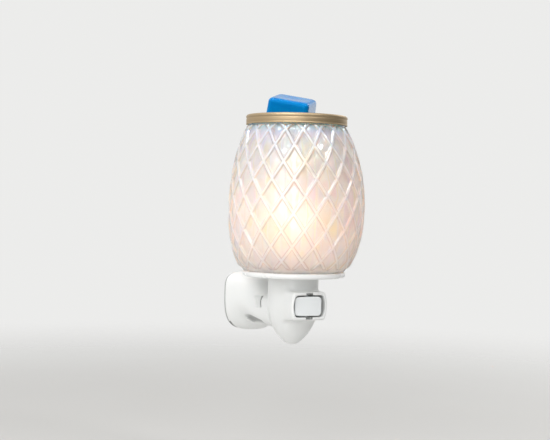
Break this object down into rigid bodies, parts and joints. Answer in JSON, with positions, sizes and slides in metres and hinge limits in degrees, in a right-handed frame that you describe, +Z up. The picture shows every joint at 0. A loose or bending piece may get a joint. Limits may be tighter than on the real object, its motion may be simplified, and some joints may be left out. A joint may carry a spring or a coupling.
{
  "type": "wax melt warmer",
  "caption": "Plug-in wax melt warmer: a lit pearl glass shade with a diamond lattice, a gold dish holding a blue wax cube, a rocker switch and a plug that turns.",
  "frame": {"origin": "centre of the plug disc's back face, which lies against the wall receptacle", "axes": "+Z up along the lamp and shade, +Y into the wall along the blades, the warmer stands out along -Y, +X to the right as seen from the front"},
  "size_m": [0.0774, 0.1116, 0.1431],
  "materials": {
    "white_plastic": "white moulded plastic, soft gloss",
    "ivory_plastic": "plain moulded",
    "grey_plastic": "plain moulded",
    "black_plastic": "fused insulator",
    "blade_brass": "stamped, lightly polished",
    "brass": "stamped strip",
    "cap_brass": "rolled thread",
    "steel": "zinc plated",
    "shade_glass": "pearl lustre over a pressed diamond lattice",
    "lamp_glass": "frosted, lit",
    "stem_glass": "clear",
    "filament": "glowing wire",
    "gold_metal": "spun, champagne gold, satin",
    "blue_wax": "cast scented wax, translucent, smooth",
    "black_wire": "wire insulation",
    "white_wire": "wire insulation"
  },
  "bodies": {
    "plug": {"plug_disc": "white_plastic", "line_blade": "blade_brass", "neutral_blade": "blade_brass", "line_arc": "brass", "neutral_arc": "brass", "pivot_washer": "steel", "pivot_screw": "steel"},
    "housing": {"plug_pod": "white_plastic", "brush_carrier": "grey_plastic", "line_brush": "brass", "neutral_brush": "brass", "rear_shell": "white_plastic", "front_shell": "white_plastic", "housing_screws": "steel", "shade_seat": "white_plastic", "socket_body": "ivory_plastic", "socket_sleeve": "brass", "centre_contact": "brass", "retaining_ring": "white_plastic", "glass_shade": "shade_glass", "switch_base": "grey_plastic", "line_terminal": "brass", "load_terminal": "brass", "line_wire": "black_wire", "load_wire": "black_wire", "neutral_wire": "white_wire"},
    "rocker": {"switch_rocker": "white_plastic", "rocker_plunger": "ivory_plastic", "rocker_spring": "steel"},
    "seesaw": {"seesaw_contact": "brass"},
    "bulb": {"bulb_shell": "cap_brass", "bulb_insulator": "black_plastic", "bulb_contact": "steel", "bulb_glass": "lamp_glass", "bulb_stem": "stem_glass", "filament": "filament"},
    "dish": {"wax_dish": "gold_metal"},
    "wax": {"wax_melt": "blue_wax"}
  },
  "joints": [
    {"name": "plug_turn", "type": "hinge", "parent": "plug", "child": "housing", "pos_m": [0, 0, 0], "axis": [0, 1, 0], "range_deg": [0, 90]},
    {"name": "rocker_tilt", "type": "hinge", "parent": "housing", "child": "rocker", "pos_m": [0, -0.071, 0.0025], "axis": [0, 0, 1], "range_deg": [0, 16]},
    {"name": "seesaw_tilt", "type": "hinge", "parent": "housing", "child": "seesaw", "pos_m": [0, -0.0654, 0.0025], "axis": [0, 0, 1], "range_deg": [-10.1, 0.1]},
    {"name": "bulb_turn", "type": "hinge", "parent": "housing", "child": "bulb", "pos_m": [0, -0.0555, 0.05], "axis": [0, 0, 1], "range_deg": [0, 360]},
    {"name": "dish_lift", "type": "slide", "parent": "housing", "child": "dish", "axis": [0, 0, 1], "range_m": [0, 0.06]},
    {"name": "wax_lift", "type": "slide", "parent": "dish", "child": "wax", "axis": [0, 0, 1], "range_m": [0, 0.05]}
  ],
  "couplings": [
    {"joint": "seesaw_tilt", "follows": "rocker_tilt", "ratio": -0.625}
  ]
}
